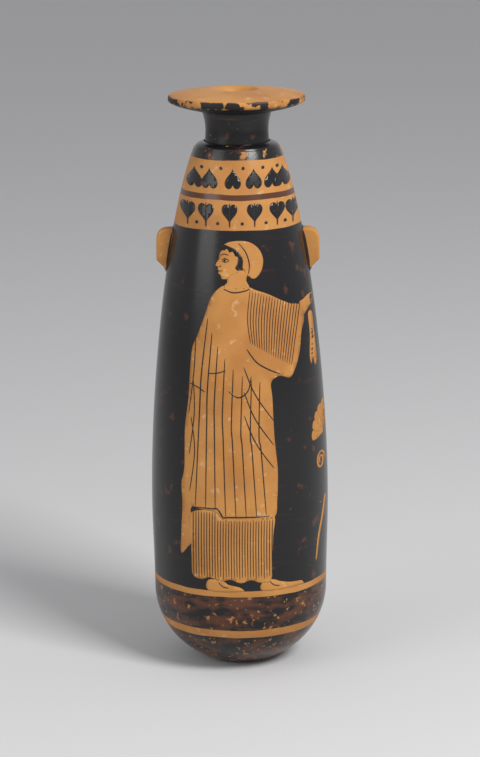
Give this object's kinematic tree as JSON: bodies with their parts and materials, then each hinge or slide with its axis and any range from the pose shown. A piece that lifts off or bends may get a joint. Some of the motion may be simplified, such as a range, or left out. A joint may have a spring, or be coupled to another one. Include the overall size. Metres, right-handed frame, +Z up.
{
  "type": "perfume vase",
  "caption": "Tall footless perfume vase of fired clay with a rounded bottom, short neck, flat mouth disc, side lugs and a painted draped figure in clay colour on black.",
  "frame": {"origin": "centre of the small resting flat under the body", "axes": "+Z up along the vase's axis towards the mouth, the two lugs on the X axis, the painted front faces -Y"},
  "size_m": [0.0528, 0.0528, 0.1716],
  "materials": {
    "black_gloss": "worn black clay slip, satin gloss",
    "fired_clay": "bare orange-brown fired clay, matt"
  },
  "bodies": {
    "root": {"body": "black_gloss", "neck": "black_gloss", "shoulder_collar": "black_gloss", "mouth_disc": "fired_clay", "lug_right": "black_gloss", "lug_left": "black_gloss"}
  },
  "joints": []
}
